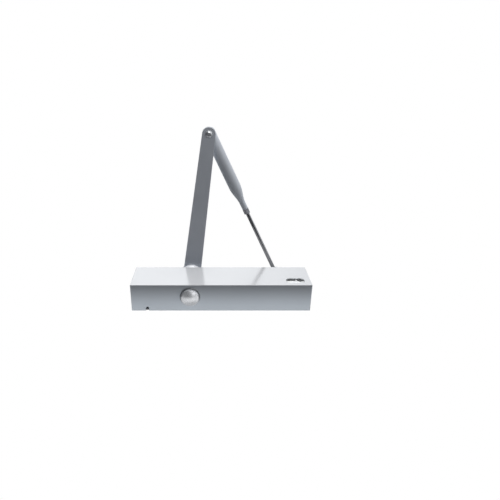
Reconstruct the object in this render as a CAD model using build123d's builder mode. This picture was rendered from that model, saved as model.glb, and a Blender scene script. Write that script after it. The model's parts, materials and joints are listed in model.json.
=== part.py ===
"""Overhead door closer with a rack and pinion drive and a two-piece link arm.

Frame: +X runs along the body, +Z up along the pinion shaft with the arm on top, and +Y
points into the door. The origin is the middle of the mounting face that lies on the door.
The arm stands as it does with the door closed. All sizes are in millimetres.
"""
import os
from math import acos, atan2, cos, pi, radians, sin, sqrt, tan

from build123d import *

os.makedirs("parts", exist_ok=True)

# Body envelope
BODY_LENGTH = 287.0
BODY_HEIGHT = 60.0
BODY_DEPTH = 47.0

# Cover
COVER_WALL = 1.6
COVER_REAR_GAP = 0.2
COVER_HOLE_R = 16.0
COVER_CORNER = 1.0
COVER_EDGE = 0.8
WINDOW_X = 119.1
WINDOW_Z = -15.0
WINDOW_LENGTH = 29.6
WINDOW_HEIGHT = 15.0
POINTER_X = 121.7
NOTCH_X = -118.0

# Pinion shaft and cylinder
PINION_X = -49.5
PINION_Y = -25.5
BORE_R = 16.0
RUNNING_FIT = 0.05
MODULE = 2.0
PINION_TEETH = 9
PRESSURE_ANGLE = radians(25)
ARM_SWING = radians(180)
PITCH_R = MODULE * PINION_TEETH / 2
PISTON_TRAVEL = PITCH_R * ARM_SWING

# Housing
HOUSING_LEFT = -126.0
HOUSING_RIGHT = 106.0
HOUSING_FRONT = -44.0
HOUSING_HALF_HEIGHT = 26.0
PLATE_THICKNESS = 3.0
PLATE_LENGTH = 282.0
PLATE_HEIGHT = 55.0
PLUG_R = 17.0
PLUG_LENGTH = 9.0

# Piston, spring and adjuster
PISTON_LEFT = -110.0
PISTON_RIGHT = -23.0
SPRING_WIRE_R = 2.25
SPRING_R = 12.4
SPRING_TURNS = 10
SEAT_LEFT = 74.0
SEAT_LENGTH = 6.0
SEAT_FLANGE = 2.8
ADJUSTER_TRAVEL = 7.5

# Pinion bearings
JOURNAL_R = 9.0
SOCKET_SIDE = 10.0
NECK_R = 6.3
BEARING_R = 12.0
GLAND_R = 14.0
GLAND_BOTTOM = 16.5
GLAND_TOP = 29.2

# Regulating valves
VALVE_R = 4.0
VALVE_Z = -20.5
GALLERY_Y = -34.0
VALVE_POSITIONS = {"closing": 0.0, "latching": 22.0, "backcheck": 44.0}

# Arm
HUB_BOTTOM = 31.5
ARM_BOTTOM = 45.0
ARM_THICKNESS = 5.8
ARM_TOP = ARM_BOTTOM + ARM_THICKNESS
HUB_R = 17.9
ARM_DISC_R = 18.6
ARM_PIVOT_R = 15.2
ARM_TIP_R = 10.5
KNUCKLE_X = -19.2
KNUCKLE_Y = -268.8

# Forearm
FOREARM_Z = 61.0
FOOT_X = 100.4
FOOT_Y = -17.5
TUBE_R = 9.8
TUBE_NOSE = 7.0
TUBE_STRAIGHT = 96.5
TUBE_TAPER_END = 127.5
TUBE_LENGTH = 141.5
TUBE_TIP_R = 4.9
LOCK_NUT_LENGTH = 8.5
ROD_R = 3.2
ROD_FIT = 0.08
ROD_START = 62.0
PIN_R = 4.0
EYE_R = 8.5
EYE_THICKNESS = 8.0

# Derived places
BORE_AXIS = Axis((0, PINION_Y, 0), (1, 0, 0))
PINION_PLACE = (PINION_X, PINION_Y)
KNUCKLE_PLACE = (KNUCKLE_X, KNUCKLE_Y)
FOOT_PLACE = (FOOT_X, FOOT_Y)
FOREARM_ANGLE = atan2(FOOT_Y - KNUCKLE_Y, FOOT_X - KNUCKLE_X)
FOREARM_LENGTH = sqrt((FOOT_X - KNUCKLE_X) ** 2 + (FOOT_Y - KNUCKLE_Y) ** 2)
FOREARM_DIR = (cos(FOREARM_ANGLE), sin(FOREARM_ANGLE), 0)


def save(piece, name):
    """Label one finished piece and write its STEP file."""
    piece.part.label = name
    export_step(piece.part, f"parts/{name}.step")


def upright_profile(place):
    """Profile plane through a vertical axis: points on it are (radius, height)."""
    return Plane((*place, 0), x_dir=(1, 0, 0), z_dir=(0, -1, 0))


def upright_axis(place):
    return Axis((*place, 0), (0, 0, 1))


def turned_upright(place, *points):
    """A solid turned about the vertical axis at place, from (radius, height) points."""
    with BuildPart() as turning:
        with BuildSketch(upright_profile(place)):
            Polygon(*points, align=None)
        revolve(axis=upright_axis(place))
    return turning


def turned_along_bore(*points):
    """A solid turned about the cylinder axis, from (x, radius) points."""
    with BuildPart() as turning:
        with BuildSketch(Plane.XZ.offset(-PINION_Y)):
            Polygon(*points, align=None)
        revolve(axis=BORE_AXIS)
    return turning


def turned_from_front(x, z, *points):
    """A solid turned about an axis square to the door, from (radius, y) points."""
    with BuildPart() as turning:
        with BuildSketch(Plane.XY.offset(z)):
            Polygon(*[(x + radius, y) for radius, y in points], align=None)
        revolve(axis=Axis((x, 0, z), (0, 1, 0)))
    return turning


def o_ring(plane, ring_r, cord_r):
    """An O-ring lying in plane about its origin."""
    with BuildPart(plane) as ring:
        Torus(ring_r, cord_r)
    return ring


# Mounting plate: fixed to the door first, carries the housing
with BuildPart() as mounting_plate:
    with BuildSketch(Plane.XZ):
        RectangleRounded(PLATE_LENGTH, PLATE_HEIGHT, 3)
    extrude(amount=PLATE_THICKNESS)
    DOOR_HOLE_R = 3.25
    DOOR_SPACING_X = 267.0
    DOOR_SPACING_Z = 32.0
    with BuildSketch(Plane.XZ):
        with GridLocations(DOOR_SPACING_X, DOOR_SPACING_Z, 2, 2):
            Circle(DOOR_HOLE_R)
    extrude(amount=PLATE_THICKNESS, mode=Mode.SUBTRACT)
    HOUSING_SCREW_LEFT = -132.0
    HOUSING_SCREW_RIGHT = 112.0
    HOUSING_SCREW_R = 3.0
    with BuildSketch(Plane.XZ):
        with Locations((HOUSING_SCREW_LEFT, 0), (HOUSING_SCREW_RIGHT, 0)):
            Circle(HOUSING_SCREW_R)
    extrude(amount=PLATE_THICKNESS, mode=Mode.SUBTRACT)
    chamfer(mounting_plate.faces().sort_by(Axis.Y)[0].outer_wire().edges(), 0.4)
save(mounting_plate, "mounting_plate")

# Housing: cast cylinder block with ears at both ends, screwed to the plate
EAR_LENGTH = 12.0
EAR_THICKNESS = 6.0
with BuildPart() as housing:
    with BuildSketch(Plane.XZ.offset(PLATE_THICKNESS)):
        with Locations(((HOUSING_LEFT + HOUSING_RIGHT) / 2, 0)):
            Rectangle(HOUSING_RIGHT - HOUSING_LEFT, 2 * HOUSING_HALF_HEIGHT)
    extrude(amount=-HOUSING_FRONT - PLATE_THICKNESS)
    chamfer(housing.edges().filter_by(Axis.X), 2.0)
    with BuildSketch(Plane.XZ.offset(PLATE_THICKNESS)):
        with Locations((HOUSING_LEFT - EAR_LENGTH / 2, 0), (HOUSING_RIGHT + EAR_LENGTH / 2, 0)):
            Rectangle(EAR_LENGTH, 16)
    extrude(amount=EAR_THICKNESS)
    with BuildSketch(Plane.XZ.offset(PLATE_THICKNESS)):
        with Locations((HOUSING_SCREW_LEFT, 0), (HOUSING_SCREW_RIGHT, 0)):
            Circle(HOUSING_SCREW_R + 0.2)
    extrude(amount=EAR_THICKNESS, mode=Mode.SUBTRACT)
    # Cylinder, with wider threaded mouths for the end plugs
    with BuildSketch(Plane.YZ.offset(HOUSING_LEFT)):
        with Locations((PINION_Y, 0)):
            Circle(BORE_R)
    extrude(amount=HOUSING_RIGHT - HOUSING_LEFT, mode=Mode.SUBTRACT)
    for mouth in (HOUSING_LEFT, HOUSING_RIGHT - PLUG_LENGTH):
        with BuildSketch(Plane.YZ.offset(mouth)):
            with Locations((PINION_Y, 0)):
                Circle(PLUG_R)
        extrude(amount=PLUG_LENGTH, mode=Mode.SUBTRACT)
    # Pockets for the two bearing glands
    with BuildSketch(Plane.XY.offset(-HOUSING_HALF_HEIGHT)):
        with Locations(PINION_PLACE):
            Circle(GLAND_R)
    extrude(amount=2 * HOUSING_HALF_HEIGHT, mode=Mode.SUBTRACT)
    # Valve bores, the gallery that joins them and its ports into the cylinder
    VALVE_DEPTH = 12.0
    with BuildSketch(Plane.XZ.offset(-HOUSING_FRONT)):
        with Locations(*[(x, VALVE_Z) for x in VALVE_POSITIONS.values()]):
            Circle(VALVE_R)
    extrude(amount=-VALVE_DEPTH, mode=Mode.SUBTRACT)
    GALLERY_R = 1.75
    GALLERY_END = 48.0
    with BuildSketch(Plane.YZ.offset(HOUSING_LEFT)):
        with Locations((GALLERY_Y, VALVE_Z)):
            Circle(GALLERY_R)
    extrude(amount=GALLERY_END - HOUSING_LEFT, mode=Mode.SUBTRACT)
    GALLERY_PLUG_R = 2.5
    GALLERY_PLUG_LENGTH = 5.0
    with BuildSketch(Plane.YZ.offset(HOUSING_LEFT)):
        with Locations((GALLERY_Y, VALVE_Z)):
            Circle(GALLERY_PLUG_R)
    extrude(amount=GALLERY_PLUG_LENGTH, mode=Mode.SUBTRACT)
    PORTS = (-113.0, -104.0, 30.0)
    with BuildSketch(Plane.XY.offset(VALVE_Z)):
        with Locations(*[(x, GALLERY_Y) for x in PORTS]):
            Circle(1.25)
    extrude(amount=8, mode=Mode.SUBTRACT)
    # Filler hole in the top face, over the spring chamber
    FILLER_X = 40.0
    FILLER_R = 3.0
    with BuildSketch(Plane.XY.offset(HOUSING_HALF_HEIGHT)):
        with Locations((FILLER_X, PINION_Y)):
            Circle(FILLER_R)
    extrude(amount=-HOUSING_HALF_HEIGHT, mode=Mode.SUBTRACT)
save(housing, "housing")

with BuildPart() as filler_plug:
    FILLER_DEPTH = 7.0
    with BuildSketch(Plane.XY.offset(HOUSING_HALF_HEIGHT - FILLER_DEPTH)):
        with Locations((FILLER_X, PINION_Y)):
            Circle(FILLER_R)
    extrude(amount=FILLER_DEPTH)
    with BuildSketch(Plane.XY.offset(HOUSING_HALF_HEIGHT)):
        with Locations((FILLER_X, PINION_Y)):
            RegularPolygon(1.7, 6)
    extrude(amount=-3, mode=Mode.SUBTRACT)
save(filler_plug, "filler_plug")

with BuildPart() as gallery_plug:
    with BuildSketch(Plane.YZ.offset(HOUSING_LEFT)):
        with Locations((GALLERY_Y, VALVE_Z)):
            Circle(GALLERY_PLUG_R)
    extrude(amount=GALLERY_PLUG_LENGTH)
save(gallery_plug, "gallery_plug")

# Two screws hold the housing ears to the plate
EAR_FRONT = -PLATE_THICKNESS - EAR_THICKNESS
SCREW_HEAD_R = 5.0
SCREW_HEAD_HEIGHT = 4.5
with BuildPart() as housing_screws:
    with BuildSketch(Plane.XZ.offset(0.4)):
        with Locations((HOUSING_SCREW_LEFT, 0), (HOUSING_SCREW_RIGHT, 0)):
            Circle(HOUSING_SCREW_R)
    extrude(amount=PLATE_THICKNESS + EAR_THICKNESS - 0.4)
    with BuildSketch(Plane.XZ.offset(-EAR_FRONT)):
        with Locations((HOUSING_SCREW_LEFT, 0), (HOUSING_SCREW_RIGHT, 0)):
            Circle(SCREW_HEAD_R)
    extrude(amount=SCREW_HEAD_HEIGHT)
    with BuildSketch(Plane.XZ.offset(-EAR_FRONT + SCREW_HEAD_HEIGHT)):
        with Locations((HOUSING_SCREW_LEFT, 0), (HOUSING_SCREW_RIGHT, 0)):
            RegularPolygon(2.9, 6)
    extrude(amount=-2.5, mode=Mode.SUBTRACT)
save(housing_screws, "housing_screws")

# End plugs, with a grooved spigot for an O-ring
SPIGOT_LENGTH = 5.0
SPIGOT_R = BORE_R - 0.1
GROOVE_R = 13.9
GROOVE_HALF_WIDTH = 1.2
PLUG_SEAL_R = 14.95
PLUG_SEAL_CORD_R = 1.0
LEFT_SPIGOT = HOUSING_LEFT + PLUG_LENGTH
LEFT_GROOVE = LEFT_SPIGOT + SPIGOT_LENGTH / 2
with BuildPart() as left_end_plug:
    add(
        turned_along_bore(
            (HOUSING_LEFT, 0),
            (HOUSING_LEFT, PLUG_R),
            (LEFT_SPIGOT, PLUG_R),
            (LEFT_SPIGOT, SPIGOT_R),
            (LEFT_GROOVE - GROOVE_HALF_WIDTH, SPIGOT_R),
            (LEFT_GROOVE - GROOVE_HALF_WIDTH, GROOVE_R),
            (LEFT_GROOVE + GROOVE_HALF_WIDTH, GROOVE_R),
            (LEFT_GROOVE + GROOVE_HALF_WIDTH, SPIGOT_R),
            (LEFT_SPIGOT + SPIGOT_LENGTH, SPIGOT_R),
            (LEFT_SPIGOT + SPIGOT_LENGTH, 0),
        ).part
    )
    PLUG_KEY_R = 7.0
    with BuildSketch(Plane.YZ.offset(HOUSING_LEFT)):
        with Locations((PINION_Y, 0)):
            RegularPolygon(PLUG_KEY_R, 6)
    extrude(amount=6, mode=Mode.SUBTRACT)
save(left_end_plug, "left_end_plug")

ADJUSTER_R = 5.0
COLLAR_R = 8.0
COLLAR_LENGTH = 3.0
ADJUSTER_SEAL_R = 6.3
RIGHT_SPIGOT = HOUSING_RIGHT - PLUG_LENGTH
RIGHT_GROOVE = RIGHT_SPIGOT - SPIGOT_LENGTH / 2
SEAL_GROOVE_X = HOUSING_RIGHT - 5
with BuildPart() as right_end_plug:
    add(
        turned_along_bore(
            (HOUSING_RIGHT, ADJUSTER_R + RUNNING_FIT),
            (HOUSING_RIGHT, PLUG_R),
            (RIGHT_SPIGOT, PLUG_R),
            (RIGHT_SPIGOT, SPIGOT_R),
            (RIGHT_GROOVE + GROOVE_HALF_WIDTH, SPIGOT_R),
            (RIGHT_GROOVE + GROOVE_HALF_WIDTH, GROOVE_R),
            (RIGHT_GROOVE - GROOVE_HALF_WIDTH, GROOVE_R),
            (RIGHT_GROOVE - GROOVE_HALF_WIDTH, SPIGOT_R),
            (RIGHT_SPIGOT - SPIGOT_LENGTH, SPIGOT_R),
            (RIGHT_SPIGOT - SPIGOT_LENGTH, ADJUSTER_R + RUNNING_FIT),
            (SEAL_GROOVE_X - GROOVE_HALF_WIDTH, ADJUSTER_R + RUNNING_FIT),
            (SEAL_GROOVE_X - GROOVE_HALF_WIDTH, ADJUSTER_SEAL_R + 1.1),
            (SEAL_GROOVE_X + GROOVE_HALF_WIDTH, ADJUSTER_SEAL_R + 1.1),
            (SEAL_GROOVE_X + GROOVE_HALF_WIDTH, ADJUSTER_R + RUNNING_FIT),
        ).part
    )
    # Two blind holes for a pin spanner
    with BuildSketch(Plane.YZ.offset(HOUSING_RIGHT)):
        with Locations((PINION_Y, 12), (PINION_Y, -12)):
            Circle(2)
    extrude(amount=-5, mode=Mode.SUBTRACT)
save(right_end_plug, "right_end_plug")

for side, groove_x in (("left", LEFT_GROOVE), ("right", RIGHT_GROOVE)):
    plug_seal = o_ring(
        Plane((groove_x, PINION_Y, 0), z_dir=(1, 0, 0)), PLUG_SEAL_R, PLUG_SEAL_CORD_R
    )
    save(plug_seal, f"{side}_plug_seal")
adjuster_seal = o_ring(Plane((SEAL_GROOVE_X, PINION_Y, 0), z_dir=(1, 0, 0)), ADJUSTER_SEAL_R, 1.05)
save(adjuster_seal, "adjuster_seal")

# Bearing glands, needle bearings and shaft seals, the same at the top and the bottom
BEARING_TOP = 25.6
SEAL_TOP = 28.0
NEEDLE_R = 1.0
NEEDLE_COUNT = 18
for side, up in (("top", 1), ("bottom", -1)):
    gland = turned_upright(
        PINION_PLACE,
        (BEARING_R, up * GLAND_BOTTOM),
        (GLAND_R, up * GLAND_BOTTOM),
        (GLAND_R, up * (GLAND_TOP - 0.5)),
        (GLAND_R - 0.5, up * GLAND_TOP),
        (JOURNAL_R + 0.2, up * GLAND_TOP),
        (JOURNAL_R + 0.2, up * SEAL_TOP),
        (BEARING_R, up * SEAL_TOP),
    )
    save(gland, f"{side}_gland")

    bearing = turned_upright(
        PINION_PLACE,
        (BEARING_R, up * GLAND_BOTTOM),
        (BEARING_R, up * BEARING_TOP),
        (JOURNAL_R + 0.4, up * BEARING_TOP),
        (JOURNAL_R + 0.4, up * (BEARING_TOP - 0.7)),
        (BEARING_R - 0.7, up * (BEARING_TOP - 0.7)),
        (BEARING_R - 0.7, up * (GLAND_BOTTOM + 0.7)),
        (JOURNAL_R + 0.4, up * (GLAND_BOTTOM + 0.7)),
        (JOURNAL_R + 0.4, up * GLAND_BOTTOM),
    )
    save(bearing, f"{side}_needle_bearing")

    with BuildPart() as needles:
        with BuildSketch(Plane.XY.offset(up * (GLAND_BOTTOM + 1))):
            with Locations(PINION_PLACE):
                with PolarLocations(JOURNAL_R + NEEDLE_R + 0.06, NEEDLE_COUNT):
                    Circle(NEEDLE_R)
        extrude(amount=up * (BEARING_TOP - GLAND_BOTTOM - 2))
    save(needles, f"{side}_bearing_needles")

    shaft_seal = turned_upright(
        PINION_PLACE,
        (BEARING_R, up * (BEARING_TOP + 0.1)),
        (BEARING_R, up * SEAL_TOP),
        (JOURNAL_R + 1.2, up * SEAL_TOP),
        (JOURNAL_R + RUNNING_FIT, up * (BEARING_TOP + 1.2)),
        (JOURNAL_R + 1.2, up * (BEARING_TOP + 0.1)),
    )
    save(shaft_seal, f"{side}_shaft_seal")

# Pinion shaft: nine stub involute teeth between two necks and two journals
TOOTH_HALF_LENGTH = 8.0
TOOTH_TIP_R = PITCH_R + MODULE
TOOTH_ROOT_R = PITCH_R - 1.25 * MODULE
BASE_R = PITCH_R * cos(PRESSURE_ANGLE)
BACKLASH = 0.25
SHAFT_END = 29.0
SOCKET_DEPTH = 11.5


def involute(angle):
    return tan(angle) - angle


def tooth_half_angle(radius):
    """Half the angle that a pinion tooth covers at a radius on or outside the base circle."""
    at_pitch = (pi * MODULE / 2 - BACKLASH) / (2 * PITCH_R)
    pressure = acos(min(BASE_R / radius, 1))
    return at_pitch + involute(PRESSURE_ANGLE) - involute(pressure)


def tooth_points(middle):
    """Points up one flank of a tooth and down the other, at polar angle middle."""
    radii = [BASE_R + (TOOTH_TIP_R - BASE_R) * step / 4 for step in range(5)]
    rising = [(radius, middle - tooth_half_angle(radius)) for radius in radii]
    falling = [(radius, middle + tooth_half_angle(radius)) for radius in reversed(radii)]
    root_half = tooth_half_angle(BASE_R)
    feet = [(TOOTH_ROOT_R, middle - root_half)], [(TOOTH_ROOT_R, middle + root_half)]
    polar = feet[0] + rising + falling + feet[1]
    return [(radius * cos(angle), radius * sin(angle)) for radius, angle in polar]


with BuildPart() as pinion_shaft:
    with BuildSketch(Plane((*PINION_PLACE, -TOOTH_HALF_LENGTH))):
        teeth = range(PINION_TEETH)
        Polygon(*[p for tooth in teeth for p in tooth_points(2 * pi * tooth / PINION_TEETH - pi / 2)], align=None)
    extrude(amount=2 * TOOTH_HALF_LENGTH)
    with BuildSketch(Plane((*PINION_PLACE, -GLAND_BOTTOM))):
        Circle(NECK_R)
    extrude(amount=2 * GLAND_BOTTOM)
    for up in (1, -1):
        with BuildSketch(Plane((*PINION_PLACE, up * (GLAND_BOTTOM - 0.2)))):
            Circle(JOURNAL_R)
        extrude(amount=up * (SHAFT_END - GLAND_BOTTOM + 0.2))
        with BuildSketch(Plane((*PINION_PLACE, up * SHAFT_END))):
            Rectangle(SOCKET_SIDE, SOCKET_SIDE)
        extrude(amount=-up * SOCKET_DEPTH, mode=Mode.SUBTRACT)
        with BuildSketch(Plane((*PINION_PLACE, up * SHAFT_END))):
            Circle(2.5)
        extrude(amount=-up * (SOCKET_DEPTH + 12), mode=Mode.SUBTRACT)
save(pinion_shaft, "pinion_shaft")

# Rack piston: hollow piston whose slot has rack teeth on its front wall
PISTON_R = BORE_R - RUNNING_FIT
SLOT_LEFT = PINION_X - TOOTH_TIP_R - PISTON_TRAVEL - 1.5
SLOT_RIGHT = PINION_X + TOOTH_TIP_R + 1.5
RACK_ADDENDUM = 1.5
RACK_DEDENDUM = 2.25
RACK_TIP_Y = PINION_Y - PITCH_R + RACK_ADDENDUM
RACK_ROOT_Y = PINION_Y - PITCH_R - RACK_DEDENDUM
SLOT_REAR_Y = PINION_Y + TOOTH_TIP_R + 0.5
RACK_PITCH = pi * MODULE
GAP_HALF_PITCH = (RACK_PITCH / 2 + BACKLASH) / 2
GAP_HALF_TIP = GAP_HALF_PITCH + RACK_ADDENDUM * tan(PRESSURE_ANGLE)
GAP_HALF_ROOT = GAP_HALF_PITCH - RACK_DEDENDUM * tan(PRESSURE_ANGLE)
RACK_HALF_WIDTH = 8.6
FIRST_GAP = -6
LAST_GAP = 1
RING_GROOVE_R = 14.2
RING_WIDTH = 2.2
RING_PLACES = (PISTON_LEFT + 3, PISTON_RIGHT - 8)
SPIGOT_TIP_R = 9.2
CHECK_BORE_R = 2.5
CHECK_POCKET_R = 4.2
CHECK_POCKET_RIGHT = -97.0
with BuildPart() as rack_piston:
    with BuildSketch(Plane.YZ.offset(PISTON_LEFT)):
        with Locations((PINION_Y, 0)):
            Circle(PISTON_R)
    extrude(amount=PISTON_RIGHT - PISTON_LEFT)
    chamfer(rack_piston.edges().filter_by(GeomType.CIRCLE), 0.6)
    with BuildSketch(Plane.YZ.offset(PISTON_RIGHT)):
        with Locations((PINION_Y, 0)):
            Circle(SPIGOT_TIP_R)
    extrude(amount=6)
    with BuildSketch(Plane.XY.offset(-BORE_R)):
        Polygon(
            (SLOT_LEFT, RACK_TIP_Y),
            (SLOT_RIGHT, RACK_TIP_Y),
            (SLOT_RIGHT, SLOT_REAR_Y),
            (SLOT_LEFT, SLOT_REAR_Y),
            align=None,
        )
    extrude(amount=2 * BORE_R, mode=Mode.SUBTRACT)
    with BuildSketch(Plane.XY.offset(-RACK_HALF_WIDTH)):
        for gap in range(FIRST_GAP, LAST_GAP + 1):
            gap_x = PINION_X + gap * RACK_PITCH
            Polygon(
                (gap_x - GAP_HALF_TIP, RACK_TIP_Y),
                (gap_x - GAP_HALF_ROOT, RACK_ROOT_Y),
                (gap_x + GAP_HALF_ROOT, RACK_ROOT_Y),
                (gap_x + GAP_HALF_TIP, RACK_TIP_Y),
                align=None,
            )
    extrude(amount=2 * RACK_HALF_WIDTH, mode=Mode.SUBTRACT)
    for ring_x in RING_PLACES:
        with BuildSketch(Plane.YZ.offset(ring_x)):
            with Locations((PINION_Y, 0)):
                Circle(BORE_R + 1)
                Circle(RING_GROOVE_R, mode=Mode.SUBTRACT)
        extrude(amount=RING_WIDTH, mode=Mode.SUBTRACT)
    with BuildSketch(Plane.YZ.offset(PISTON_LEFT)):
        with Locations((PINION_Y, 0)):
            Circle(CHECK_BORE_R)
    extrude(amount=SLOT_LEFT - PISTON_LEFT, mode=Mode.SUBTRACT)
    with BuildSketch(Plane.YZ.offset(PISTON_LEFT)):
        with Locations((PINION_Y, 0)):
            Circle(CHECK_POCKET_R)
    extrude(amount=CHECK_POCKET_RIGHT - PISTON_LEFT, mode=Mode.SUBTRACT)
save(rack_piston, "rack_piston")

with BuildPart() as piston_rings:
    for ring_x in RING_PLACES:
        with BuildSketch(Plane.YZ.offset(ring_x + 0.1)):
            with Locations((PINION_Y, 0)):
                Circle(BORE_R - 0.03)
                Circle(RING_GROOVE_R + 0.1, mode=Mode.SUBTRACT)
        extrude(amount=RING_WIDTH - 0.2)
save(piston_rings, "piston_rings")

# Check valve in the piston head: seat ring, ball and retainer
SEAT_RING_LENGTH = 2.5
SEAT_RING_LEFT = CHECK_POCKET_RIGHT - SEAT_RING_LENGTH
SEAT_HOLE_R = 2.2
BALL_R = 3.0
BALL_X = SEAT_RING_LEFT - sqrt(BALL_R**2 - SEAT_HOLE_R**2) - RUNNING_FIT
check_valve_seat = turned_along_bore(
    (SEAT_RING_LEFT, SEAT_HOLE_R),
    (SEAT_RING_LEFT, CHECK_POCKET_R),
    (CHECK_POCKET_RIGHT, CHECK_POCKET_R),
    (CHECK_POCKET_RIGHT, SEAT_HOLE_R),
)
save(check_valve_seat, "check_valve_seat")

with BuildPart(Plane((BALL_X, PINION_Y, 0))) as check_ball:
    Sphere(BALL_R)
save(check_ball, "check_ball")

check_ball_retainer = turned_along_bore(
    (PISTON_LEFT + 1, 1.6),
    (PISTON_LEFT + 1, CHECK_POCKET_R),
    (PISTON_LEFT + 3, CHECK_POCKET_R),
    (PISTON_LEFT + 3, 1.6),
)
save(check_ball_retainer, "check_ball_retainer")

# Closing spring between the piston and the adjustable seat
SPRING_LENGTH = SEAT_LEFT - PISTON_RIGHT - 2 * SPRING_WIRE_R - 0.2
with BuildPart() as closing_spring:
    with BuildLine() as coil:
        Helix(
            SPRING_LENGTH / SPRING_TURNS,
            SPRING_LENGTH,
            SPRING_R,
            center=(PISTON_RIGHT + SPRING_WIRE_R + 0.1, PINION_Y, 0),
            direction=(1, 0, 0),
        )
    with BuildSketch(Plane(coil.line @ 0, z_dir=coil.line % 0)):
        Circle(SPRING_WIRE_R)
    sweep(path=coil.line, is_frenet=True)
save(closing_spring, "closing_spring")

# Spring seat: a nut on the adjusting screw
SEAT_R = BORE_R - 0.1
SEAT_SPIGOT = 3.0
SEAT_BOSS_R = ADJUSTER_R + 2.4
spring_seat = turned_along_bore(
    (SEAT_LEFT - SEAT_SPIGOT, ADJUSTER_R + RUNNING_FIT),
    (SEAT_LEFT - SEAT_SPIGOT, SPIGOT_TIP_R - 0.6),
    (SEAT_LEFT - SEAT_SPIGOT + 0.6, SPIGOT_TIP_R),
    (SEAT_LEFT, SPIGOT_TIP_R),
    (SEAT_LEFT, SEAT_R),
    (SEAT_LEFT + SEAT_FLANGE, SEAT_R),
    (SEAT_LEFT + SEAT_FLANGE, SEAT_BOSS_R),
    (SEAT_LEFT + SEAT_LENGTH, SEAT_BOSS_R),
    (SEAT_LEFT + SEAT_LENGTH, ADJUSTER_R + RUNNING_FIT),
)
save(spring_seat, "spring_seat")

# Adjusting screw: thread inside, thrust collar, fine thread for the pointer nut, hex drive
COLLAR_LEFT = RIGHT_SPIGOT - SPIGOT_LENGTH - COLLAR_LENGTH - 0.1
POINTER_THREAD_R = 3.0
CLIP_THICKNESS = 1.2
CLIP_LEFT = HOUSING_RIGHT + 0.2
ADJUSTER_HEAD = 135.0
ADJUSTER_END = 140.0
with BuildPart() as adjusting_screw:
    add(
        turned_along_bore(
            (SEAT_LEFT - ADJUSTER_TRAVEL - 8, 0),
            (SEAT_LEFT - ADJUSTER_TRAVEL - 8, ADJUSTER_R - 0.8),
            (SEAT_LEFT - ADJUSTER_TRAVEL - 7.2, ADJUSTER_R),
            (COLLAR_LEFT, ADJUSTER_R),
            (COLLAR_LEFT, COLLAR_R),
            (COLLAR_LEFT + COLLAR_LENGTH, COLLAR_R),
            (COLLAR_LEFT + COLLAR_LENGTH, ADJUSTER_R),
            (CLIP_LEFT, ADJUSTER_R),
            (CLIP_LEFT, ADJUSTER_R - 1),
            (CLIP_LEFT + CLIP_THICKNESS, ADJUSTER_R - 1),
            (CLIP_LEFT + CLIP_THICKNESS, POINTER_THREAD_R),
            (ADJUSTER_HEAD, POINTER_THREAD_R),
            (ADJUSTER_HEAD, 5),
            (ADJUSTER_END, 5),
            (ADJUSTER_END, 0),
        ).part
    )
    with BuildSketch(Plane.YZ.offset(ADJUSTER_END)):
        with Locations((PINION_Y, 0)):
            RegularPolygon(2.9, 6)
    extrude(amount=-3.5, mode=Mode.SUBTRACT)
save(adjusting_screw, "adjusting_screw")

adjuster_circlip = turned_along_bore(
    (CLIP_LEFT, ADJUSTER_R - 1),
    (CLIP_LEFT, ADJUSTER_R + 2),
    (CLIP_LEFT + CLIP_THICKNESS - 0.1, ADJUSTER_R + 2),
    (CLIP_LEFT + CLIP_THICKNESS - 0.1, ADJUSTER_R - 1),
)
save(adjuster_circlip, "adjuster_circlip")

# Pointer nut, which carries a flag in front of the scale
NUT_LENGTH = 4.0
FLAG_FRONT = -43.7
FLAG_REAR = -42.9
FLAG_TIP = -11.0
with BuildPart() as indicator_pointer:
    with BuildSketch(Plane.YZ.offset(POINTER_X - NUT_LENGTH / 2)):
        with Locations((PINION_Y, 0)):
            Circle(6)
    extrude(amount=NUT_LENGTH)
    with BuildSketch(Plane.YZ.offset(POINTER_X - 1)):
        Polygon(
            (PINION_Y - 1, -3.5),
            (FLAG_FRONT, -3.5),
            (FLAG_FRONT, FLAG_TIP),
            (FLAG_REAR, FLAG_TIP),
            (FLAG_REAR, -5.5),
            (PINION_Y - 1, -5.5),
            align=None,
        )
    extrude(amount=2)
    with BuildSketch(Plane.YZ.offset(POINTER_X - NUT_LENGTH / 2)):
        with Locations((PINION_Y, 0)):
            Circle(POINTER_THREAD_R + RUNNING_FIT)
    extrude(amount=NUT_LENGTH, mode=Mode.SUBTRACT)
save(indicator_pointer, "indicator_pointer")

# Scale bracket behind the window, held on the end face of the housing
SCALE_TOP = -8.8
SCALE_BOTTOM = -25.0
SCALE_THICKNESS = 0.8
with BuildPart() as indicator_scale:
    with BuildSketch(Plane.XY.offset(SCALE_BOTTOM)):
        Polygon(
            (HOUSING_RIGHT, -35),
            (HOUSING_RIGHT, -42.6),
            (137, -42.6),
            (137, -42.6 + SCALE_THICKNESS),
            (HOUSING_RIGHT + SCALE_THICKNESS, -42.6 + SCALE_THICKNESS),
            (HOUSING_RIGHT + SCALE_THICKNESS, -35),
            align=None,
        )
    extrude(amount=SCALE_TOP - SCALE_BOTTOM)
save(indicator_scale, "indicator_scale")

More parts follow.
